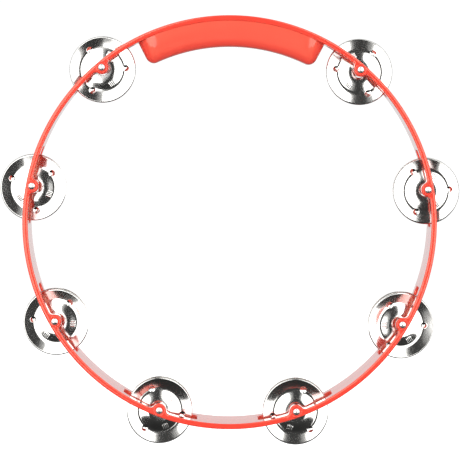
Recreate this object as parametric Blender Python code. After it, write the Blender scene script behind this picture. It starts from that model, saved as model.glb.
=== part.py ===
"""Tambourine: a one-piece moulded ring with a hand grip at the top and eight
pairs of steel jingles, each pair hanging on a steel pin across its window.

Units are metres and +Z is up. The instrument hangs upright from its grip, the
ring's axis is Y, and the front of the ring faces -Y. The origin is the middle
of the grip, where a hand closes round grip and rim. Jingles are numbered
clockwise from the grip, as seen from the front.
"""

import math

import bmesh
import bpy
from mathutils import Matrix, Vector

MM = 0.001

# ---- driving dimensions, in millimetres -------------------------------------
RING_OUTER_R = 127.0        # a 10 inch ring
RING_INNER_R = 123.6
RING_DEPTH = 48.0
RIM_EDGE = 0.7              # chamfer on the rim's edges
HOLD_R = 117.0              # ring centre to the middle of the grip = the origin

PITCH_DEG = 40.0            # nine equal stations, the grip takes the top one
STATIONS = 8
PIN_CIRCLE_R = 123.2

WINDOW_LENGTH = 48.0        # along the ring
WINDOW_WIDTH = 24.0         # along the ring's axis
WINDOW_CORNER_R = 3.0

BOSS_R = 4.3
BOSS_FILLET_R = 2.5
BOSS_FACE = 23.9            # boss end faces stand 0.1 behind the rim's land
BOSS_INNER = 11.0           # boss's thrust face towards the jingles
BOSS_HOLE_R = 1.7

PIN_R = 1.4
PIN_HEAD_R = 2.15
PIN_HEAD_UNDERSIDE = 24.2
PIN_HEAD_HEIGHT = 1.2
PIN_TAIL = 22.6             # the tail ends inside the rear boss

JINGLE_R = 20.45
JINGLE_HOLE_R = 3.6
JINGLE_SHEET = 0.5
JINGLE_CREASE_Y = 4.4       # crease plane from the middle of the ring
# half section of a disc's middle surface: radius, height above the crease plane. A
# gently domed middle steepens to a circular crease, then a flange turns up again.
JINGLE_LINE = (
    (3.6, 1.29),
    (6.5, 1.26),
    (9.4, 0.78),
    (13.0, 0.02),
    (13.8, 0.02),
    (20.45, 1.31),
)
# how each pair hangs, by station: the front disc's middle from the pin's axis in x and
# z, and the lean of both discs, in degrees, about Z and about the level axis across
HANG = (
    (-0.15, -1.35, 0.25, 4.5),
    (-0.15, -1.50, -1.25, 2.7),
    (0.05, -1.80, 5.25, 1.75),
    (-0.10, -1.85, 0.0, 0.25),
    (0.10, -1.80, 5.25, -1.0),
    (0.10, -1.60, -4.9, 2.1),
    (0.15, -1.50, -4.0, 2.5),
    (0.10, -1.45, -1.1, 0.5),
)

GRIP_INNER_R = 107.6
GRIP_GAP = 0.3              # to the ring's inner wall
GRIP_HALF_DEG = 27.5        # half the arc that it covers, at the wall
GRIP_HALF_DEPTH = 23.2
GRIP_CORNER_R = 5.2
GRIP_END_ALONG = 12.0       # the ends round off towards both faces: along the arc
GRIP_END_DEEP = 6.8         # and into the depth
GRIP_EDGE_ALONG = 12.0       # the same for the inner edge
GRIP_EDGE_DEEP = 7.2

RING_STEPS = 108            # 12 to a station
DISC_STEPS = 32
PIN_STEPS = 20

CENTRE = Vector((0.0, 0.0, -HOLD_R))


# ---- helpers ----------------------------------------------------------------
def clear_scene():
    for obj in list(bpy.data.objects):
        bpy.data.objects.remove(obj, do_unlink=True)


def material(name, colour, roughness, metallic, coat=0.0):
    mat = bpy.data.materials.new(name)
    mat.use_nodes = True
    shader = mat.node_tree.nodes["Principled BSDF"]
    shader.inputs["Base Color"].default_value = (*colour, 1.0)
    shader.inputs["Roughness"].default_value = roughness
    shader.inputs["Metallic"].default_value = metallic
    shader.inputs["Coat Weight"].default_value = coat
    mat.diffuse_color = (*colour, 1.0)
    return mat


def to_object(name, bm, mat=None, sharp_deg=30.0):
    """A closed bmesh in millimetres becomes an object in metres."""
    bmesh.ops.recalc_face_normals(bm, faces=bm.faces)
    bmesh.ops.scale(bm, vec=(MM, MM, MM), verts=bm.verts)
    mesh = bpy.data.meshes.new(name)
    bm.to_mesh(mesh)
    bm.free()
    mesh.shade_smooth()
    mesh.set_sharp_from_angle(angle=math.radians(sharp_deg))
    if mat:
        mesh.materials.append(mat)
    obj = bpy.data.objects.new(name, mesh)
    bpy.context.scene.collection.objects.link(obj)
    return obj


def turned(bm, profile, steps, centre=(0.0, 0.0)):
    """Turn a closed (radius, y) profile about an axis along Y through centre (x, z).
    A radius of 0 becomes one point on the axis."""
    rings = []
    for radius, y in profile:
        if radius == 0.0:
            rings.append([bm.verts.new((centre[0], y, centre[1]))])
            continue
        ring = []
        for i in range(steps):
            a = 2.0 * math.pi * i / steps
            ring.append(
                bm.verts.new(
                    (centre[0] + radius * math.sin(a), y, centre[1] + radius * math.cos(a))
                )
            )
        rings.append(ring)
    for k, ring in enumerate(rings):
        other = rings[(k + 1) % len(rings)]
        if len(ring) == 1 and len(other) == 1:
            continue
        for i in range(steps):
            j = (i + 1) % steps
            if len(ring) == 1:
                bm.faces.new((ring[0], other[j], other[i]))
            elif len(other) == 1:
                bm.faces.new((ring[i], ring[j], other[0]))
            else:
                bm.faces.new((ring[i], ring[j], other[j], other[i]))


def prism(bm, outline, to_3d, low, high):
    """Extrude a closed 2-D outline between two levels, with flat end faces."""
    a = [bm.verts.new(to_3d(u, v, low)) for u, v in outline]
    b = [bm.verts.new(to_3d(u, v, high)) for u, v in outline]
    bm.faces.new(a)
    bm.faces.new(list(reversed(b)))
    n = len(outline)
    for i in range(n):
        j = (i + 1) % n
        bm.faces.new((a[j], a[i], b[i], b[j]))


def station(index):
    """Angle, outward and clockwise directions of a jingle station, and its pin's centre."""
    a = math.radians(PITCH_DEG * (index + 1))
    out = Vector((math.sin(a), 0.0, math.cos(a)))
    along = Vector((math.cos(a), 0.0, -math.sin(a)))
    return a, out, along, CENTRE + out * PIN_CIRCLE_R


def rounded_rectangle(length, width, radius, steps=4):
    points = []
    for cx, cy, start in (
        (length / 2 - radius, width / 2 - radius, 0),
        (-length / 2 + radius, width / 2 - radius, 90),
        (-length / 2 + radius, -width / 2 + radius, 180),
        (length / 2 - radius, -width / 2 + radius, 270),
    ):
        for i in range(steps + 1):
            a = math.radians(start + 90.0 * i / steps)
            points.append((cx + radius * math.cos(a), cy + radius * math.sin(a)))
    return points


def boss_outline():
    """Section of a boss across the pin: a round nose blended into the wall, and a
    flat back that lies inside the wall. u runs along the ring, v outwards."""
    centre = PIN_CIRCLE_R
    reach = RING_INNER_R - BOSS_FILLET_R
    touch = BOSS_R + BOSS_FILLET_R
    phi = math.acos((centre**2 + reach**2 - touch**2) / (2 * centre * reach))
    fillet = (reach * math.sin(phi), reach * math.cos(phi) - centre)
    toward = math.atan2(-fillet[1], -fillet[0])       # fillet centre to boss centre
    wall = math.atan2(reach * math.cos(phi), reach * math.sin(phi))
    half = []
    # fillet, from near the wall to the nose
    span = (toward - wall) % (2 * math.pi)
    for i in range(1, 5):
        a = wall + span * (0.28 + 0.72 * (i - 1) / 3)
        half.append(
            (
                fillet[0] + BOSS_FILLET_R * math.cos(a),
                fillet[1] + BOSS_FILLET_R * math.sin(a),
            )
        )
    first, second = half[0], half[1]
    grow = (1.9 - first[1]) / (first[1] - second[1])
    root = (first[0] + (first[0] - second[0]) * grow * 0.5, 1.9)
    nose_from = math.atan2(half[-1][1], half[-1][0])
    nose = []
    for i in range(1, 7):
        a = nose_from + (-math.pi / 2 - nose_from) * i / 6
        nose.append((BOSS_R * math.cos(a), BOSS_R * math.sin(a)))
    right = [root, *half, *nose]
    left = [(-u, v) for u, v in reversed(right[:-1])]
    return right + left


# ---- the ring ---------------------------------------------------------------
def build_frame(mat):
    d, e = RING_DEPTH / 2, RIM_EDGE
    bm = bmesh.new()
    turned(
        bm,
        [
            (RING_INNER_R, -d + e * 0.6),
            (RING_INNER_R + e * 0.6, -d),
            (RING_OUTER_R - e, -d),
            (RING_OUTER_R, -d + e),
            (RING_OUTER_R, d - e),
            (RING_OUTER_R - e, d),
            (RING_INNER_R + e * 0.6, d),
            (RING_INNER_R, d - e * 0.6),
        ],
        RING_STEPS,
        (CENTRE.x, CENTRE.z),
    )
    frame = to_object("frame", bm, mat, 25.0)

    windows, bosses, holes = bmesh.new(), bmesh.new(), bmesh.new()
    window = rounded_rectangle(WINDOW_LENGTH, WINDOW_WIDTH, WINDOW_CORNER_R)
    boss = boss_outline()
    for k in range(STATIONS):
        _, out, along, pin = station(k)

        def at_window(u, y, v, out=out, along=along):
            return CENTRE + along * u + out * v + Vector((0.0, y, 0.0))

        def at_pin(u, v, y, out=out, along=along, pin=pin):
            return pin + along * u + out * v + Vector((0.0, y, 0.0))

        prism(windows, window, at_window, 112.0, 134.0)
        prism(bosses, boss, at_pin, -BOSS_FACE, -BOSS_INNER)
        prism(bosses, boss, at_pin, BOSS_INNER, BOSS_FACE)
        hole = [
            (
                BOSS_HOLE_R * math.cos(2 * math.pi * i / PIN_STEPS),
                BOSS_HOLE_R * math.sin(2 * math.pi * i / PIN_STEPS),
            )
            for i in range(PIN_STEPS)
        ]
        prism(holes, hole, at_pin, -30.0, 30.0)
    for name, bm, operation in (
        ("window_cutters", windows, "DIFFERENCE"),
        ("boss_bodies", bosses, "UNION"),
        ("pin_hole_cutters", holes, "DIFFERENCE"),
    ):
        tool = to_object(name, bm)
        tool.hide_render = True
        tool.display_type = "WIRE"
        cut = frame.modifiers.new(name, "BOOLEAN")
        cut.operation = operation
        cut.solver = "EXACT"
        cut.object = tool
    return frame


# ---- the grip ---------------------------------------------------------------
def grip_outline(height, half_len, corner, steps=6):
    """Plan of the grip at one depth: s runs along the wall, h inwards from it. The
    foot follows the wall, the inner edge is parallel to it, the corners are round."""
    corner = min(corner, height * 0.95, half_len * 0.95)
    right = [(half_len, 0.0)]
    for i in range(steps + 1):
        a = math.radians(90.0 * i / steps)
        right.append(
            (
                half_len - corner + corner * math.cos(a),
                height - corner + corner * math.sin(a),
            )
        )
    n_inner, n_foot = 12, 20
    inner = [
        ((half_len - corner) * (1 - 2 * i / n_inner), height) for i in range(1, n_inner)
    ]
    left = [(-s, h) for s, h in reversed(right)]
    foot = [(-half_len + 2 * half_len * i / n_foot, 0.0) for i in range(1, n_foot)]
    return right + inner + left + foot


def build_grip(mat):
    base_r = RING_INNER_R - GRIP_GAP
    tall = base_r - GRIP_INNER_R
    half_len = math.radians(GRIP_HALF_DEG) * base_r

    def inset(y, along, deep):
        q = min(1.0, max(0.0, (abs(y) - GRIP_HALF_DEPTH + deep) / deep))
        return along * (1.0 - math.sqrt(max(0.0, 1.0 - q * q)))

    bm = bmesh.new()
    layers = []
    deepest = max(GRIP_END_DEEP, GRIP_EDGE_DEEP)
    bends = [
        GRIP_HALF_DEPTH - deepest + deepest * math.sin(math.radians(90.0 * k / 7))
        for k in range(8)
    ]
    for y in [-v for v in reversed(bends)] + [-6.0, 6.0] + bends:
        end = inset(y, GRIP_END_ALONG, GRIP_END_DEEP)
        edge = inset(y, GRIP_EDGE_ALONG, GRIP_EDGE_DEEP)
        layers.append((y, grip_outline(tall - edge, half_len - end, GRIP_CORNER_R)))
    rows = []
    for y, outline in layers:
        row = []
        for s, h in outline:
            a = s / base_r
            r = base_r - h
            row.append(
                bm.verts.new((CENTRE.x + r * math.sin(a), y, CENTRE.z + r * math.cos(a)))
            )
        rows.append(row)
    count = len(rows[0])
    for a, b in zip(rows, rows[1:]):
        for i in range(count):
            j = (i + 1) % count
            bm.faces.new((a[i], a[j], b[j], b[i]))
    bm.faces.new(rows[0])
    bm.faces.new(list(reversed(rows[-1])))
    return to_object("hand_grip", bm, mat, 50.0)


# ---- pins and jingles -------------------------------------------------------
def pin_mesh():
    """A dome-headed pin on the Y axis, head towards -Y."""
    head = []
    for i in range(5):
        a = math.radians(90.0 * i / 4)
        head.append(
            (
                PIN_HEAD_R * math.sin(a) if i else 0.0,
                -PIN_HEAD_UNDERSIDE - 0.15 - (PIN_HEAD_HEIGHT - 0.15) * math.cos(a),
            )
        )
    profile = [
        *head,
        (PIN_HEAD_R, -PIN_HEAD_UNDERSIDE),
        (PIN_R, -PIN_HEAD_UNDERSIDE),
        (PIN_R, PIN_TAIL - 0.3),
        (PIN_R - 0.3, PIN_TAIL),
        (0.0, PIN_TAIL),
    ]
    bm = bmesh.new()
    turned(bm, profile, PIN_STEPS)
    return bm


def jingle_mesh(side):
    """One pressed disc about the Y axis, its dome towards side * Y, the middle of its
    hub at the origin."""
    t = JINGLE_SHEET / 2
    top = JINGLE_LINE[0][1]
    profile = [(r, side * (h - top + t)) for r, h in JINGLE_LINE]
    profile += [(r, side * (h - top - t)) for r, h in reversed(JINGLE_LINE)]
    bm = bmesh.new()
    turned(bm, profile, DISC_STEPS)
    return bm


def main():
    clear_scene()
    red_gloss = material("ring_plastic", (0.87, 0.065, 0.045), 0.12, 0.0, 0.3)
    red_satin = material("grip_plastic", (0.87, 0.085, 0.06), 0.38, 0.0)
    steel = material("pin_steel", (0.80, 0.79, 0.77), 0.12, 1.0)
    plate = material("jingle_steel", (0.83, 0.82, 0.79), 0.07, 1.0)

    build_frame(red_gloss)
    build_grip(red_satin)

    pin_data = None
    for k in range(STATIONS):
        _, _, _, pin = station(k)
        if pin_data is None:
            first = to_object("pin_1", pin_mesh(), steel)
            pin_data = first.data
        else:
            first = bpy.data.objects.new(f"pin_{k + 1}", pin_data)
            bpy.context.scene.collection.objects.link(first)
        first.location = pin * MM
        dx, dz, yaw, pitch = HANG[k]
        lean = Matrix.Rotation(math.radians(yaw), 4, "Z") @ Matrix.Rotation(
            math.radians(-pitch), 4, "X"
        )
        hub_y = JINGLE_CREASE_Y + JINGLE_LINE[0][1]
        for side, word in ((-1, "front"), (1, "rear")):
            bm = jingle_mesh(side)
            bmesh.ops.transform(bm, matrix=lean, verts=bm.verts)
            disc = to_object(f"jingle_{word}_{k + 1}", bm, plate, 20.0)
            # the rear disc hangs on the other side of the pin by the same amount
            disc.location = (pin + Vector((-side * dx, side * hub_y, dz))) * MM


main()
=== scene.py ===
"""Looks of the tambourine: a glossy moulded ring with its grip, polished pins and
pressed steel jingles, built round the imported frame. Metres, +Z up, front towards -Y.
"""

import math

import bmesh
import bpy
import numpy as np
from mathutils import Matrix, Vector


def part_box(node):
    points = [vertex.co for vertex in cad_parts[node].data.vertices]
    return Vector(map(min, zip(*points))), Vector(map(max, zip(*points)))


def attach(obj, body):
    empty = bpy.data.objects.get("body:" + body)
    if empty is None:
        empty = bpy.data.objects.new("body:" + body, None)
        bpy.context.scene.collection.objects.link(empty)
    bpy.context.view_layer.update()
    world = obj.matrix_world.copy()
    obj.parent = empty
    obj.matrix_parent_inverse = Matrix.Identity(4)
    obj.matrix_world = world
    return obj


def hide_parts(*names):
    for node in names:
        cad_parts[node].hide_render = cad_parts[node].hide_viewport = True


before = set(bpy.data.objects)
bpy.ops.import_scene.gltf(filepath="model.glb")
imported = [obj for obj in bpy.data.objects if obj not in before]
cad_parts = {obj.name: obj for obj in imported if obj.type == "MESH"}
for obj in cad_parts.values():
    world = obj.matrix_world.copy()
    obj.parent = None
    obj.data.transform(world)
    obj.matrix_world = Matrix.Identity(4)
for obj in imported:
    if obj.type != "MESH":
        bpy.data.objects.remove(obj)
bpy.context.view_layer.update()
MM = 0.001

# ---- places, read from the frame ---------------------------------------------
lo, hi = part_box("frame")
RING_R = (hi.x - lo.x) / 2 / MM
DEPTH = (hi.y - lo.y) / MM
CENTRE = Vector(((lo.x + hi.x) / 2, (lo.y + hi.y) / 2, hi.z - RING_R * MM)) / MM
PITCH = math.radians(40.0)
PINS = []
for k in range(1, 9):
    a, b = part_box(f"pin_{k}")
    PINS.append(Vector(((a.x + b.x) / 2, 0.0, (a.z + b.z) / 2)) / MM)
PIN_CIRCLE = sum((p - CENTRE).length for p in PINS) / 8

WALL = 3.4
INNER_R = RING_R - WALL
WINDOW_LENGTH, WINDOW_WIDTH, WINDOW_CORNER = 48.0, 24.0, 3.0
BOSS_R, BOSS_FILLET = 4.3, 2.5
BOSS_ROUND, BOSS_DROP, BOSS_TOP = 1.55, 1.5, 24.02


# ---- helpers -------------------------------------------------------------------
def mesh_object(name, verts, faces, weld=0.0, sharp=None, flip_check=True):
    """Vertices in millimetres to a smooth object in metres."""
    bm = bmesh.new()
    vs = [bm.verts.new(v) for v in verts]
    for f in faces:
        try:
            bm.faces.new([vs[i] for i in f])
        except ValueError:
            pass
    if weld:
        bmesh.ops.remove_doubles(bm, verts=bm.verts, dist=weld)
    if flip_check:
        bmesh.ops.recalc_face_normals(bm, faces=bm.faces)
    bmesh.ops.scale(bm, vec=(MM, MM, MM), verts=bm.verts)
    mesh = bpy.data.meshes.new(name)
    bm.to_mesh(mesh)
    bm.free()
    mesh.shade_smooth()
    if sharp is not None:
        mesh.set_sharp_from_angle(angle=math.radians(sharp))
    obj = bpy.data.objects.new(name, mesh)
    bpy.context.scene.collection.objects.link(obj)
    return obj


def applied(obj):
    """The object's modifiers, made part of its mesh."""
    dg = bpy.context.evaluated_depsgraph_get()
    mesh = bpy.data.meshes.new_from_object(obj.evaluated_get(dg))
    obj.modifiers.clear()
    obj.data = mesh
    return obj


def boolean(obj, tool, operation):
    m = obj.modifiers.new("cut", "BOOLEAN")
    m.operation, m.solver, m.object = operation, "EXACT", tool
    applied(obj)
    bpy.data.objects.remove(tool, do_unlink=True)


class Grid:
    """Collects vertices and faces by index."""

    def __init__(self):
        self.v, self.f = [], []

    def row(self, points):
        start = len(self.v)
        self.v.extend(points)
        return list(range(start, len(self.v)))

    def band(self, a, b, closed=False):
        n = len(a)
        for i in range(n if closed else n - 1):
            j = (i + 1) % n
            self.f.append((a[i], a[j], b[j], b[i]))


# ---- the ring --------------------------------------------------------------------
EDGE_C = 1.25             # how far the crowned edges reach into the depth
PART_Y = 2.4              # the mould's parting line on the inner wall


def inner_radius(y):
    """Drafted inner wall: tightest at the parting line, with a fine raised witness."""
    draft = 0.08 * min(1.0, abs(y - PART_Y) / 20.0)
    return INNER_R - 0.03 + draft


def edge_profile(steps=16):
    """(radius, depth from the edge) over the crowned edge, from the inner wall to the outer."""
    half = WALL / 2
    out = []
    for i in range(1, steps):
        t = math.pi * i / steps
        c, s = math.cos(t), math.sin(t)
        x = half * math.copysign(abs(c) ** 0.72, c)
        h = EDGE_C * s ** 0.62
        out.append((INNER_R + half - x, h))
    return out


def ring_point(phi, r, y, mid):
    a = mid + phi
    return (CENTRE.x + r * math.sin(a), y, CENTRE.z + r * math.cos(a))


def seam_ys():
    end = DEPTH / 2 - EDGE_C
    ys = [-end + 2 * end * i / 16 for i in range(17)]
    ys = [y for y in ys if abs(y - PART_Y) > 0.9]
    ys += [PART_Y - 0.35, PART_Y - 0.16, PART_Y, PART_Y + 0.16, PART_Y + 0.35]
    return sorted(ys)


def rounded(length, width, radius, nl, ns, arc=6):
    """Points and outward normals round a rounded rectangle, starting at the lower left
    corner's middle and running along the low side first, counter-clockwise."""
    pts = []

    def arc_part(cx, cy, a0, a1, n, last=False):
        for i in range(n + (1 if last else 0)):
            a = math.radians(a0 + (a1 - a0) * i / n)
            pts.append((cx + radius * math.cos(a), cy + radius * math.sin(a), math.cos(a), math.sin(a)))

    def line(x0, y0, x1, y1, n, nx, ny):
        for i in range(1, n):
            t = i / n
            pts.append((x0 + (x1 - x0) * t, y0 + (y1 - y0) * t, nx, ny))

    L, W = length / 2 - radius, width / 2 - radius
    sides = []
    half = arc // 2
    # low side (y = -W - radius): from corner (-L,-W) middle of arc
    for cx0, cy0, cx1, cy1, a_mid, nx, ny, n in (
        (-L, -W, L, -W, 225, 0, -1, nl),
        (L, -W, L, W, 315, 1, 0, ns),
        (L, W, -L, W, 45, 0, 1, nl),
        (-L, W, -L, -W, 135, -1, 0, ns),
    ):
        start = len(pts)
        arc_part(cx0, cy0, a_mid, a_mid + 45, half)
        pts.append((cx0 + radius * nx, cy0 + radius * ny, nx, ny))
        line(cx0 + radius * nx, cy0 + radius * ny, cx1 + radius * nx, cy1 + radius * ny, n, nx, ny)
        arc_part(cx1, cy1, a_mid + 45, a_mid + 90, half)
        sides.append((start, len(pts)))
    return pts, sides


def build_ring():
    g = Grid()
    ys = seam_ys()
    end = DEPTH / 2 - EDGE_C
    profile = edge_profile()
    half_pitch = PITCH / 2
    phi_block = math.asin(30.0 / INNER_R)
    n_short = len(ys) - 1

    def witness(y):
        return 0.02 if abs(y - PART_Y) < 0.05 else 0.0

    def plain_block(mid, phi0, phi1, n):
        phis = [phi0 + (phi1 - phi0) * i / n for i in range(n + 1)]
        inner = [g.row([ring_point(p, inner_radius(y) - witness(y), y, mid) for p in phis]) for y in ys]
        outer = [g.row([ring_point(p, RING_R, y, mid) for p in phis]) for y in ys]
        for a, b in zip(inner, inner[1:]):
            g.band(a, b)
        for a, b in zip(outer, outer[1:]):
            g.band(a, b)
        for s, row_i, row_o in ((-1, inner[0], outer[0]), (1, inner[-1], outer[-1])):
            last = row_i
            for r, h in profile:
                row = g.row([ring_point(p, r, s * (end + h), mid) for p in phis])
                g.band(last, row)
                last = row
            g.band(last, row_o)

    def window_block(mid):
        nl_total = 34
        arc = 8
        nl = nl_total - arc
        ns = n_short - arc
        pts, sides = rounded(WINDOW_LENGTH, WINDOW_WIDTH, WINDOW_CORNER, nl, ns, arc)
        m = len(pts)
        e = 1.0
        # outer rectangle
        outer_pts = [None] * m
        for s, (a, b) in enumerate(sides):
            n = b - a
            for i in range(n):
                t = i / n
                if s == 0:
                    outer_pts[a + i] = (-phi_block + 2 * phi_block * t, -end)
                elif s == 1:
                    outer_pts[a + i] = (phi_block, ys[i])
                elif s == 2:
                    outer_pts[a + i] = (phi_block - 2 * phi_block * t, end)
                else:
                    outer_pts[a + i] = (-phi_block, ys[len(ys) - 1 - i])

        ts = [0.0, 0.05, 0.12, 0.22, 0.36, 0.52, 0.68, 0.84, 1.0]

        def surface(which):
            rows = []
            for t in ts:
                row = []
                for (u, y, nx, ny), (po, yo) in zip(pts, outer_pts):
                    u0, y0 = u + e * nx, y + e * ny
                    r = inner_radius(y0) if which == 0 else RING_R
                    start_phi = math.asin(u0 / r)
                    phi = start_phi + (po - start_phi) * t
                    yy = y0 + (yo - y0) * t
                    if which == 0:
                        w = witness(yy) if t == 1.0 else 0.0
                        r = inner_radius(yy) - w
                    row.append(ring_point(phi, r, yy, mid))
                rows.append(g.row(row))
            for a, b in zip(rows, rows[1:]):
                g.band(a, b, closed=True)
            return rows

        inner = surface(0)
        outer = surface(1)
        # window wall, rounded at both edges
        last = inner[0]
        out_dir = Vector((math.sin(mid), 0, math.cos(mid)))
        along = Vector((math.cos(mid), 0, -math.sin(mid)))
        wall = []
        steps = 4
        for i in range(1, steps + 1):
            a = math.radians(90 * i / steps)
            wall.append((e - e * math.sin(a), 0, e - e * math.cos(a)))
        for i in range(0, steps):
            a = math.radians(90 * i / steps)
            wall.append((e - e * math.cos(a), 1, e - e * math.sin(a)))
        for d, side, depth in wall:
            row = []
            for u, y, nx, ny in pts:
                uu, yy = u + d * nx, y + d * ny
                if side == 0:
                    v = math.sqrt(inner_radius(yy) ** 2 - uu * uu) + depth
                else:
                    v = math.sqrt(RING_R**2 - uu * uu) - depth
                p = CENTRE + along * uu + out_dir * v
                row.append((p.x, yy, p.z))
            row = g.row(row)
            g.band(last, row, closed=True)
            last = row
        g.band(last, outer[0], closed=True)
        # crowned edges
        for s, (a, b) in ((-1, sides[0]), (1, sides[2])):
            idx = [i % m for i in range(a, b + 1)]
            row_i = [inner[-1][i] for i in idx]
            row_o = [outer[-1][i] for i in idx]
            phis = [outer_pts[i][0] for i in idx]
            last = row_i
            for r, h in profile:
                row = g.row([ring_point(p, r, s * (end + h), mid) for p in phis])
                g.band(last, row)
                last = row
            g.band(last, row_o)

    for k in range(9):
        mid = PITCH * (k + 1)
        if k == 8:
            plain_block(mid, -half_pitch, half_pitch, 36)
        else:
            plain_block(mid, -half_pitch, -phi_block, 6)
            window_block(mid)
            plain_block(mid, phi_block, half_pitch, 6)
    ring = mesh_object("moulded_ring", g.v, g.f, weld=0.002)

    # bosses: a nose blended into the wall, and a raised collar round the pin's head
    bodies, bores = bmesh.new(), bmesh.new()

    def extrude(bm, levels):
        """A closed solid through rows of points."""
        rows = [[bm.verts.new(p) for p in row] for row in levels]
        n = len(rows[0])
        for a, b in zip(rows, rows[1:]):
            for i in range(n):
                j = (i + 1) % n
                bm.faces.new((a[i], a[j], b[j], b[i]))
        bm.faces.new(rows[0])
        bm.faces.new(list(reversed(rows[-1])))

    def nose(radius):
        centre = PIN_CIRCLE
        reach = INNER_R + 0.02 - BOSS_FILLET
        touch = radius + BOSS_FILLET
        phi = math.acos((centre**2 + reach**2 - touch**2) / (2 * centre * reach))
        fx, fy = reach * math.sin(phi), reach * math.cos(phi) - centre
        toward = math.atan2(-fy, -fx)
        wall = math.atan2(reach * math.cos(phi), reach * math.sin(phi))
        span = (toward - wall) % (2 * math.pi)
        half = []
        for i in range(8):
            a = wall + span * (0.12 + 0.88 * i / 7)
            half.append((fx + BOSS_FILLET * math.cos(a), fy + BOSS_FILLET * math.sin(a)))
        first, second = half[0], half[1]
        grow = (1.9 - first[1]) / (first[1] - second[1])
        root = (first[0] + (first[0] - second[0]) * grow * 0.35, 1.9)
        start = math.atan2(half[-1][1], half[-1][0])
        arc = []
        for i in range(1, 15):
            a = start + (-math.pi / 2 - start) * i / 14
            arc.append((radius * math.cos(a), radius * math.sin(a)))
        right = [root, *half, *arc]
        return right + [(-u, v) for u, v in reversed(right[:-1])]

    for k, pin in enumerate(PINS):
        a = PITCH * (k + 1)
        out_dir = Vector((math.sin(a), 0, math.cos(a)))
        along = Vector((math.cos(a), 0, -math.sin(a)))
        flat = nose(BOSS_R)

        def at(u, v, y, pin=pin, out_dir=out_dir, along=along):
            p = pin + along * u + out_dir * v
            return (p.x, y, p.z)

        for s in (-1, 1):
            rows = []
            ys = []
            for i in range(11):
                t = math.radians(90 * i / 10)
                ys.append((BOSS_ROUND * (1 - math.sin(t)), BOSS_TOP - BOSS_DROP * (1 - math.cos(t))))
            for i in range(4):
                t = math.radians(90 * i / 3)
                ys.append((0.5 * (1 - math.cos(t)), 11.0 + 0.5 * (1 - math.sin(t))))
            for inset, y in ys:
                f = (BOSS_R - inset) / BOSS_R
                rows.append([at(u * f, v * f if v < 0 else v, s * y) for u, v in flat])
            extrude(bodies, rows)
        # a low crowned ring round the pin's head
        rows = []
        for r, y in ((3.66, 23.2), (3.63, 23.92), (3.56, 24.08), (3.43, 24.2), (3.26, 24.26), (3.08, 24.24), (2.9, 24.14), (2.72, 23.98)):
            rows.append([at(r * math.cos(2 * math.pi * i / 40), r * math.sin(2 * math.pi * i / 40), -y) for i in range(40)])
        extrude(bodies, rows)
        rows = []
        for y in (-30.0, 30.0):
            rows.append([at(1.7 * math.cos(2 * math.pi * i / 32), 1.7 * math.sin(2 * math.pi * i / 32), y) for i in range(32)])
        extrude(bores, rows)

    def tool(name, bm):
        bmesh.ops.recalc_face_normals(bm, faces=bm.faces)
        bmesh.ops.scale(bm, vec=(MM, MM, MM), verts=bm.verts)
        mesh = bpy.data.meshes.new(name)
        bm.to_mesh(mesh)
        bm.free()
        obj = bpy.data.objects.new(name, mesh)
        bpy.context.scene.collection.objects.link(obj)
        return obj

    m = ring.modifiers.new("join", "BOOLEAN")
    m.operation, m.solver, m.use_self = "UNION", "EXACT", True
    t1 = tool("boss_tool", bodies)
    m.object = t1
    applied(ring)
    bpy.data.objects.remove(t1, do_unlink=True)
    boolean(ring, tool("bore_tool", bores), "DIFFERENCE")
    ring.data.shade_smooth()
    ring.data.set_sharp_from_angle(angle=math.radians(38))
    return ring


# ---- the grip --------------------------------------------------------------------
GRIP_SEAT, GRIP_INNER_R = 0.45, 107.6     # its foot is let into the wall a little
GRIP_HALF_DEG, GRIP_HALF_DEPTH, GRIP_CORNER = 27.5, 23.2, 5.2
GRIP_END_A, GRIP_END_B = 12.0, 6.8        # how the ends round off, along and into the depth
GRIP_EDGE_A, GRIP_EDGE_B = 13.6, 7.6       # the same for the inner edge


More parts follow.
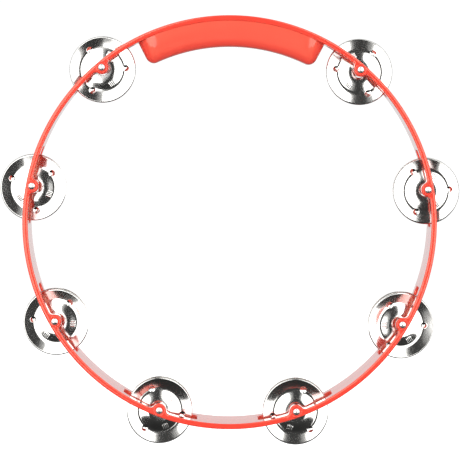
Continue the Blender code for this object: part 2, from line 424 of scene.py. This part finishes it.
def build_grip():
    base_r = INNER_R + GRIP_SEAT
    tall = base_r - GRIP_INNER_R
    half_len = math.radians(GRIP_HALF_DEG) * base_r
    g = Grid()
    n_c, n_i, n_f = 12, 48, 64

    def outline(hl, height, corner):
        corner = min(corner, height * 0.9)
        right = [(hl, 0.0)]
        for i in range(n_c + 1):
            a = math.radians(90.0 * i / n_c)
            right.append((hl - corner + corner * math.cos(a), height - corner + corner * math.sin(a)))
        inner = [((hl - corner) * (1 - 2 * i / n_i), height) for i in range(1, n_i)]
        left = [(-s, h) for s, h in reversed(right)]
        foot = [(-hl + 2 * hl * i / n_f, 0.0) for i in range(1, n_f)]
        return right + inner + left + foot

    def spot(s, h, y):
        a = s / base_r
        r = base_r - h
        return (CENTRE.x + r * math.sin(a), y, CENTRE.z + r * math.cos(a))

    half = []
    for k in range(0, 19):
        # from the flat of the side out to the crown of the face
        t = math.radians(90.0 * k / 18)
        e = max(GRIP_END_B, GRIP_EDGE_B)
        y = GRIP_HALF_DEPTH - e + e * math.sin(t)

        def inset(a, b):
            q = min(1.0, max(0.0, (y - (GRIP_HALF_DEPTH - b)) / b))
            return a * (1 - math.sqrt(max(0.0, 1 - q * q)))

        half.append((y, inset(GRIP_END_A, GRIP_END_B), inset(GRIP_EDGE_A, GRIP_EDGE_B)))
    levels = [(-y, i, j) for y, i, j in reversed(half)] + [(y, i, j) for y, i, j in half]
    mid = [(-half[0][0] + 2 * half[0][0] * i / 6, 0.0, 0.0) for i in range(1, 6)]
    levels = levels[: len(half)] + mid + levels[len(half):]
    rows = []
    for y, end, edge in levels:
        rows.append(g.row([spot(s, h, y) for s, h in outline(half_len - end, tall - edge, GRIP_CORNER)]))
    for a, b in zip(rows, rows[1:]):
        g.band(a, b, closed=True)
    # the faces close in a few shrinking steps
    for row, side, (y, end, edge) in ((rows[0], -1, levels[0]), (rows[-1], 1, levels[-1])):
        hl, height = half_len - end, tall - edge
        base = outline(hl, height, GRIP_CORNER)
        last = row
        for f in (0.8, 0.55, 0.3, 0.1):
            mid_h = height * 0.35
            pts = [spot(s * f if abs(s) < hl else s * f, mid_h + (h - mid_h) * f, y) for s, h in base]
            new = g.row(pts)
            g.band(last, new, closed=True)
            last = new
        g.f.append(tuple(last))
    return mesh_object("palm_grip", g.v, g.f, sharp=50)


# ---- pins -------------------------------------------------------------------------
def turned_mesh(name, profile, steps):
    g = Grid()
    rows = []
    for r, y in profile:
        if r == 0.0:
            rows.append(g.row([(0.0, y, 0.0)]))
        else:
            rows.append(g.row([(r * math.sin(2 * math.pi * i / steps), y, r * math.cos(2 * math.pi * i / steps)) for i in range(steps)]))
    for a, b in zip(rows, rows[1:]):
        if len(a) == 1:
            for i in range(steps):
                g.f.append((a[0], b[(i + 1) % steps], b[i]))
        elif len(b) == 1:
            for i in range(steps):
                g.f.append((a[i], a[(i + 1) % steps], b[0]))
        else:
            g.band(a, b, closed=True)
    return mesh_object(name, g.v, g.f, sharp=40)


def build_pin():
    R, under, tall = 2.15, 24.15, 1.2
    prof = []
    n = 18
    for i in range(n + 1):
        a = math.radians(90.0 * i / n)
        prof.append((R * math.sin(a) if i else 0.0, -under - 0.2 - (tall - 0.25) * math.cos(a)))
    prof += [(R, -under - 0.06), (R - 0.06, -under), (1.4, -under), (1.4, -2.0), (1.4, 22.2), (1.3, 22.45), (1.05, 22.6), (0.0, 22.6)]
    return turned_mesh("polished_pin_1", prof, 48)


# ---- jingles -----------------------------------------------------------------------
J_R, J_HOLE, J_CREASE = 20.45, 3.6, 13.3
J_CREASE_Y, J_T = 4.4, 0.5                # crease plane from the ring's middle
# slope of the section by radius, in degrees, + falling away outwards: a flat hub, a dome
# that steepens to the crease, and a flange that turns up again
SLOPE_R = (0.0, 5.0, 6.5, 8.0, 10.0, 12.2, 14.6, 17.0, 19.6)
SLOPE_DEG = (0.0, 0.0, 4.2, 10.7, 12.6, 12.1, -10.2, -11.4, -11.9)
SLOPE_BLEND = 0.7
ROLL_FROM, ROLL_TO, ROLL_TILT = 19.6, 20.23, 55.0   # the punched edge, rolled over
DENT_AT, DENT_BODY, DENT_EDGE, DENT_TILT = 14.3, 1.55, 2.2, 27.0
STAMP_AT = 10.6


def slope_at(r):
    """Slope angle of the disc's section, the knots above blended a little."""
    around = r + np.linspace(-0.5, 0.5, 9) * SLOPE_BLEND
    a = float(np.interp(around, SLOPE_R, SLOPE_DEG).mean())
    roll = min(1.0, max(0.0, (r - ROLL_FROM) / (ROLL_TO - ROLL_FROM)))
    return a + (ROLL_TILT - a) * roll


_rs = np.arange(0.0, J_R + 0.02, 0.02)
_hs = np.zeros_like(_rs)
for _i in range(len(_rs) - 2, -1, -1):
    _hs[_i] = _hs[_i + 1] + math.tan(math.radians(slope_at(_rs[_i] + 0.01))) * 0.02
_hs -= _hs[int(J_CREASE / 0.02)]
J_DOME = float(_hs[int(J_HOLE / 0.02)])
HUB_Y = J_CREASE_Y + J_DOME


def section(r):
    return np.interp(r, _rs, _hs)


_ds = np.arange(0.0, DENT_EDGE + 0.01, 0.01)


def _dent_slope(p):
    if p < DENT_BODY:
        return math.tan(math.radians(DENT_TILT * p / DENT_BODY))
    t = (p - DENT_BODY) / (DENT_EDGE - DENT_BODY)
    return math.tan(math.radians(DENT_TILT * max(0.0, 1 - t * t * (3 - 2 * t))))


_dd = np.zeros_like(_ds)
for _i in range(len(_ds) - 2, -1, -1):
    _dd[_i] = _dd[_i + 1] + _dent_slope(_ds[_i] + 0.005) * 0.01


def dent(x, z):
    """Depth of the three round dents, at 0, 120 and 240 degrees."""
    d = np.zeros_like(x)
    for a in (0, 120, 240):
        cx, cz = DENT_AT * math.cos(math.radians(a)), DENT_AT * math.sin(math.radians(a))
        p = np.hypot(x - cx, z - cz)
        d = np.maximum(d, np.interp(p, _ds, _dd, right=0.0))
    return d


def stamp(x, z):
    """Four short plain bars, raised, on each side of the first dent."""
    h = np.zeros_like(x)
    for a in (60, -60):
        c, s = math.cos(math.radians(a)), math.sin(math.radians(a))
        u = x * c + z * s - STAMP_AT          # radial
        v = -x * s + z * c                    # along
        for o in (-1.5, -0.5, 0.5, 1.5):
            d = np.maximum(np.abs(v - o) - 0.12, np.abs(u) - 1.15)
            h = np.maximum(h, 0.19 * np.clip(1 - (d + 0.02) / 0.22, 0, 1) ** 1.0)
    return h


def angles():
    """Angular samples, closer together across the dents and stamps."""
    zones = [(a, 10.5, 0.55) for a in (0, 120, 240)] + [(a, 11.0, 0.62) for a in (60, 300)]
    out = []
    a = -10.5
    while a < 349.4:
        out.append(a)
        step = 3.0
        for c, w, s in zones:
            d = (a - c + 180) % 360 - 180
            if -w <= d < w:
                step = min(step, s)
            elif d < -w and -w - d < step:
                step = min(step, max(-w - d, 0.3))
        a += step
    return [math.radians(x) for x in out]


def radii_front():
    r = [J_HOLE + 0.12, 3.8, 4.6, 5.2, 5.5, 5.8, 6.1, 6.4, 6.7, 7.0, 7.4, 8.2, 9.0]
    x = 9.45
    while x < 12.45:
        r.append(x)
        x += 0.16
    while x < 17.1:
        r.append(x)
        x += 0.15
    r += [17.6, 18.3, 19.0, 19.4, 19.6, 19.7, 19.8, 19.9, 20.0, 20.1]
    return r


def radii_back():
    r = [J_HOLE + 0.12, 3.8, 4.8, 5.5, 6.0, 6.5, 7.0, 7.8, 9.0, 10.4, 11.6]
    x = 12.1
    while x < 17.1:
        r.append(x)
        x += 0.25
    r += [17.8, 18.6, 19.3, 19.6, 19.8, 19.95, 20.1]
    return r


def build_disc(name):
    """One disc about Y with its dome towards -Y; the hub's middle plane is y = 0."""
    ang = np.array(angles())
    g = Grid()
    t = J_T / 2
    rows = []

    def ring_row(r, side, with_stamp):
        x, z = r * np.cos(ang), r * np.sin(ang)
        h = section(r) - dent(x, z)
        if with_stamp:
            h = h + stamp(x, z)
        y = -(h - J_DOME) - side * t
        return g.row([(float(a), float(b), float(c)) for a, b, c in zip(x, y, z)])

    def edge(r0, sign, y0_front, y0_back):
        """Rounded sheet edge: rows between the front and back faces at radius r0."""
        out = []
        for i in range(1, 6):
            a = math.pi * i / 6
            out.append((r0 + sign * t * 0.9 * math.sin(a), math.cos(a)))
        return out

    front = [ring_row(r, 1, True) for r in radii_front()]
    # outer edge
    r_edge = J_R - 0.25
    front.append(ring_row(r_edge, 1, False))
    outer = []
    for r, c in edge(r_edge, 1, 0, 0):
        x, z = r * np.cos(ang), r * np.sin(ang)
        y = -(section(r_edge) - J_DOME) - c * t
        outer.append(g.row([(float(a), float(y), float(b)) for a, b in zip(x, z)]))
    back = [ring_row(r, -1, False) for r in radii_back()]
    back.append(ring_row(r_edge, -1, False))
    inner = []
    r_in = J_HOLE + 0.12
    for r, c in edge(r_in, -0.5, 0, 0):
        x, z = r * np.cos(ang), r * np.sin(ang)
        y = -(section(r_in) - J_DOME) - c * t
        inner.append(g.row([(float(a), float(y), float(b)) for a, b in zip(x, z)]))
    loop = front + outer + list(reversed(back)) + list(reversed(inner))
    for a, b in zip(loop, loop[1:] + loop[:1]):
        g.band(a, b, closed=True)
    return mesh_object(name, g.v, g.f, sharp=60)


# front of the disc as seen from -Y: spin in degrees, lean (yaw, pitch) in degrees, and
# how far its middle hangs from the pin (x, z) in millimetres
HANG = {
    1: (173, 0.25, 4.5, (-0.15, -1.35)),
    2: (5, -1.25, 2.7, (-0.15, -1.5)),
    3: (240, 5.25, 1.75, (0.05, -1.8)),
    4: (191, 0.0, 0.25, (-0.1, -1.85)),
    5: (-10, 5.25, -1.0, (0.1, -1.8)),
    6: (-65, -4.9, 2.1, (0.1, -1.6)),
    7: (-82, -4.0, 2.5, (0.15, -1.5)),
    8: (4, -1.1, 0.5, (0.1, -1.45)),
}


def place(mesh, k, side):
    """A disc's mesh, turned and leaned. side -1 is the front disc, +1 the rear one."""
    spin, yaw, pitch, (dx, dz) = HANG[k]
    pin = PINS[k - 1]
    rot = Matrix.Rotation(math.radians(yaw), 4, "Z") @ Matrix.Rotation(math.radians(-pitch), 4, "X")
    turn = Matrix.Rotation(math.radians(-spin), 4, "Y")
    if side > 0:
        turn = Matrix.Rotation(math.pi, 4, "Z") @ Matrix.Rotation(math.radians(-spin * 1.7 - 40), 4, "Y")
        dx = -dx
    mesh = mesh.copy()
    mesh.transform(rot @ turn)
    return mesh, Vector((pin.x + dx, side * HUB_Y, pin.z + dz)) * MM


# ---- materials ----------------------------------------------------------------------
def node_material(name):
    mat = bpy.data.materials.new(name)
    mat.use_nodes = True
    nt = mat.node_tree
    return mat, nt, nt.nodes["Principled BSDF"]


def noise(nt, scale, detail=2.0, rough=0.5, coords="Object", distortion=0.0):
    tc = nt.nodes.new("ShaderNodeTexCoord")
    n = nt.nodes.new("ShaderNodeTexNoise")
    n.inputs["Scale"].default_value = scale
    n.inputs["Detail"].default_value = detail
    n.inputs["Roughness"].default_value = rough
    n.inputs["Distortion"].default_value = distortion
    nt.links.new(tc.outputs[coords], n.inputs["Vector"])
    return n


def remap(nt, socket, a, b, c, d):
    m = nt.nodes.new("ShaderNodeMapRange")
    m.inputs["From Min"].default_value, m.inputs["From Max"].default_value = a, b
    m.inputs["To Min"].default_value, m.inputs["To Max"].default_value = c, d
    nt.links.new(socket, m.inputs["Value"])
    return m.outputs["Result"]


def bump(nt, shader, height, strength, distance):
    b = nt.nodes.new("ShaderNodeBump")
    b.inputs["Strength"].default_value = strength
    b.inputs["Distance"].default_value = distance
    nt.links.new(height, b.inputs["Height"])
    nt.links.new(b.outputs["Normal"], shader.inputs["Normal"])
    return b


def colour_mix(nt, shader, factor, a, b):
    mix = nt.nodes.new("ShaderNodeMix")
    mix.data_type = "RGBA"
    mix.inputs["A"].default_value = (*a, 1)
    mix.inputs["B"].default_value = (*b, 1)
    nt.links.new(factor, mix.inputs["Factor"])
    nt.links.new(mix.outputs["Result"], shader.inputs["Base Color"])


def gloss_red():
    mat, nt, s = node_material("red_gloss_plastic")
    n = noise(nt, 60, 3)
    colour_mix(nt, s, remap(nt, n.outputs["Fac"], 0.3, 0.7, 0, 1), (0.95, 0.072, 0.046), (0.92, 0.066, 0.042))
    fine = noise(nt, 700, 2)
    nt.links.new(remap(nt, fine.outputs["Fac"], 0.3, 0.7, 0.07, 0.11), s.inputs["Roughness"])
    bump(nt, s, noise(nt, 60, 2).outputs["Fac"], 0.02, 0.0003)
    s.inputs["IOR"].default_value = 1.66
    s.inputs["Specular Tint"].default_value = (1.0, 0.88, 0.62, 1.0)
    s.inputs["Coat Weight"].default_value = 0.45
    s.inputs["Coat Roughness"].default_value = 0.05
    return mat


def satin_red():
    mat, nt, s = node_material("red_satin_plastic")
    n = noise(nt, 50, 3)
    colour_mix(nt, s, remap(nt, n.outputs["Fac"], 0.3, 0.7, 0, 1), (0.97, 0.067, 0.047), (0.95, 0.063, 0.044))
    fine = noise(nt, 1500, 3)
    nt.links.new(remap(nt, fine.outputs["Fac"], 0.3, 0.7, 0.34, 0.40), s.inputs["Roughness"])
    bump(nt, s, fine.outputs["Fac"], 0.10, 0.0002)
    s.inputs["IOR"].default_value = 1.5
    s.inputs["Specular IOR Level"].default_value = 0.95
    s.inputs["Specular Tint"].default_value = (1.0, 0.84, 0.45, 1.0)
    s.inputs["Coat Weight"].default_value = 0.95
    s.inputs["Coat Roughness"].default_value = 0.055
    return mat


def steel(name, colour, rough, brush):
    mat, nt, s = node_material(name)
    s.inputs["Metallic"].default_value = 1.0
    n = noise(nt, 220, 4, 0.6)
    colour_mix(nt, s, remap(nt, n.outputs["Fac"], 0.35, 0.65, 0, 1), colour, tuple(c * 0.97 for c in colour))
    nt.links.new(remap(nt, noise(nt, 900, 3).outputs["Fac"], 0.3, 0.7, rough * 0.92, rough * 1.12), s.inputs["Roughness"])
    if brush:
        bump(nt, s, noise(nt, 70, 0).outputs["Fac"], 0.02, 0.0002)
    return mat


# ---- build -----------------------------------------------------------------------------
RED, SATIN = gloss_red(), satin_red()
PIN_STEEL = steel("polished_pin_steel", (0.93, 0.91, 0.88), 0.27, False)
PLATE = steel("bright_plated_steel", (0.84, 0.83, 0.80), 0.105, True)

ring = build_ring()
ring.data.materials.clear()
ring.data.materials.append(RED)
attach(ring, "ring")
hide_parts("frame")

grip = build_grip()
grip.data.materials.append(SATIN)
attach(grip, "ring")
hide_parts("hand_grip")

seed = build_disc("disc")
disc_mesh = seed.data
disc_mesh.materials.append(PLATE)
bpy.data.objects.remove(seed, do_unlink=True)
pin_mesh = None
for k in range(1, 9):
    if pin_mesh is None:
        pin = build_pin()
        pin_mesh = pin.data
        pin_mesh.materials.append(PIN_STEEL)
    else:
        pin = bpy.data.objects.new(f"polished_pin_{k}", pin_mesh)
        bpy.context.scene.collection.objects.link(pin)
    pin.location = PINS[k - 1] * MM
    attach(pin, f"pin_{k}")
    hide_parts(f"pin_{k}")
    for side, word in ((-1, "front"), (1, "rear")):
        mesh, where = place(disc_mesh, k, side)
        mesh.name = f"{word}_disc_{k}"
        disc = bpy.data.objects.new(mesh.name, mesh)
        disc.location = where
        bpy.context.scene.collection.objects.link(disc)
        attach(disc, f"{word}_jingle_{k}")
        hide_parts(f"jingle_{word}_{k}")


# ---- studio ------------------------------------------------------------------------------
def area(name, where, size, radiance, toward):
    light = bpy.data.lights.new(name, "AREA")
    light.shape = "RECTANGLE"
    light.size, light.size_y = size
    light.energy = radiance * math.pi * size[0] * size[1]
    obj = bpy.data.objects.new(name, light)
    bpy.context.scene.collection.objects.link(obj)
    obj.location = where
    obj.rotation_mode = "QUATERNION"
    obj.rotation_quaternion = Vector(toward).to_track_quat("-Z", "Y")
    obj.visible_camera = False
    return obj


# two big front softboxes with the camera between them, each with a dimmer strip along
# its inner edge and a weaker fill above it
STUDIO_Y = -2.3
for name, x0, x1, z0, z1, radiance in (
    ("softbox_left", -3.5, -0.26, -0.89, 2.07, 2.55),
    ("softbox_right", 0.51, 3.5, -0.82, 2.07, 2.55),
    ("strip_left", -0.26, -0.08, -0.70, 1.60, 0.27),
    ("strip_right", 0.42, 0.51, -0.65, 1.40, 0.35),
    ("fill_left", -3.5, -0.26, 2.07, 4.6, 1.1),
    ("fill_right", 0.51, 3.5, 2.07, 4.6, 1.1),
):
    area(name, ((x0 + x1) / 2, STUDIO_Y, (z0 + z1) / 2), (x1 - x0, z1 - z0), radiance, (0, 1, 0))

low_fill = area("low_fill", (0.0, -1.5, -1.35), (2.4, 1.1), 4.4, (0, 1.5, 1.2))
low_fill.visible_glossy = False

world = bpy.data.worlds.new("studio")
bpy.context.scene.world = world
world.use_nodes = True
nt = world.node_tree
nt.nodes.clear()
out = nt.nodes.new("ShaderNodeOutputWorld")
mix = nt.nodes.new("ShaderNodeMixShader")
path = nt.nodes.new("ShaderNodeLightPath")
white = nt.nodes.new("ShaderNodeBackground")
white.inputs["Color"].default_value = (1, 1, 1, 1)
white.inputs["Strength"].default_value = 1.05
room = nt.nodes.new("ShaderNodeBackground")
tc = nt.nodes.new("ShaderNodeTexCoord")
sep = nt.nodes.new("ShaderNodeSeparateXYZ")
nt.links.new(tc.outputs["Generated"], sep.inputs["Vector"])
back = nt.nodes.new("ShaderNodeMapRange")
back.interpolation_type = "SMOOTHSTEP"
back.inputs["From Min"].default_value = -0.62
back.inputs["From Max"].default_value = 0.05
back.inputs["To Min"].default_value = 0.05
back.inputs["To Max"].default_value = 1.0
nt.links.new(sep.outputs["Y"], back.inputs["Value"])
low = nt.nodes.new("ShaderNodeMapRange")
low.interpolation_type = "SMOOTHSTEP"
low.inputs["From Min"].default_value = -0.75
low.inputs["From Max"].default_value = -0.25
low.inputs["To Min"].default_value = 0.32
low.inputs["To Max"].default_value = 1.0
nt.links.new(sep.outputs["Z"], low.inputs["Value"])
times = nt.nodes.new("ShaderNodeMath")
times.operation = "MULTIPLY"
nt.links.new(back.outputs["Result"], times.inputs[0])
nt.links.new(low.outputs["Result"], times.inputs[1])
nt.links.new(times.outputs["Value"], room.inputs["Strength"])
nt.links.new(path.outputs["Is Camera Ray"], mix.inputs["Fac"])
nt.links.new(room.outputs["Background"], mix.inputs[1])
nt.links.new(white.outputs["Background"], mix.inputs[2])
nt.links.new(mix.outputs["Shader"], out.inputs["Surface"])

# ---- floor ---------------------------------------------------------------------------------
g = Grid()
rim = g.row([(9000 * math.cos(2 * math.pi * i / 96), 9000 * math.sin(2 * math.pi * i / 96), -820.0) for i in range(96)])
g.f.append(tuple(rim))
floor = mesh_object("pale_floor", g.v, g.f)
mat, fnt, s = node_material("pale_floor")
s.inputs["Base Color"].default_value = (0.8, 0.8, 0.8, 1)
s.inputs["Roughness"].default_value = 0.8
s.inputs["Emission Color"].default_value = (1, 1, 1, 1)
s.inputs["Emission Strength"].default_value = 0.95
floor.data.materials.append(mat)
floor.visible_glossy = False
floor.visible_diffuse = False

# ---- camera --------------------------------------------------------------------------------
cam_data = bpy.data.cameras.new("camera")
cam = bpy.data.objects.new("camera", cam_data)
bpy.context.scene.collection.objects.link(cam)
cam_data.sensor_width = 36.0
cam_data.lens = 273.48
cam_data.clip_start, cam_data.clip_end = 0.1, 50.0
yaw, pitch, roll = (math.radians(x) for x in (0.3690, 2.8745, 0.5683))
forward = Vector((math.sin(yaw) * math.cos(pitch), math.cos(yaw) * math.cos(pitch), -math.sin(pitch)))
right = Vector((math.cos(yaw), -math.sin(yaw), 0.0))
up = right.cross(forward)
r2 = right * math.cos(roll) + up * math.sin(roll)
u2 = up * math.cos(roll) - right * math.sin(roll)
rows = Matrix((r2, u2, -forward)).transposed().to_4x4()
rows.translation = (-0.01352, -2.16062, -0.01408)
cam.matrix_world = rows
bpy.context.scene.camera = cam
bpy.context.scene.view_settings.view_transform = "Standard"
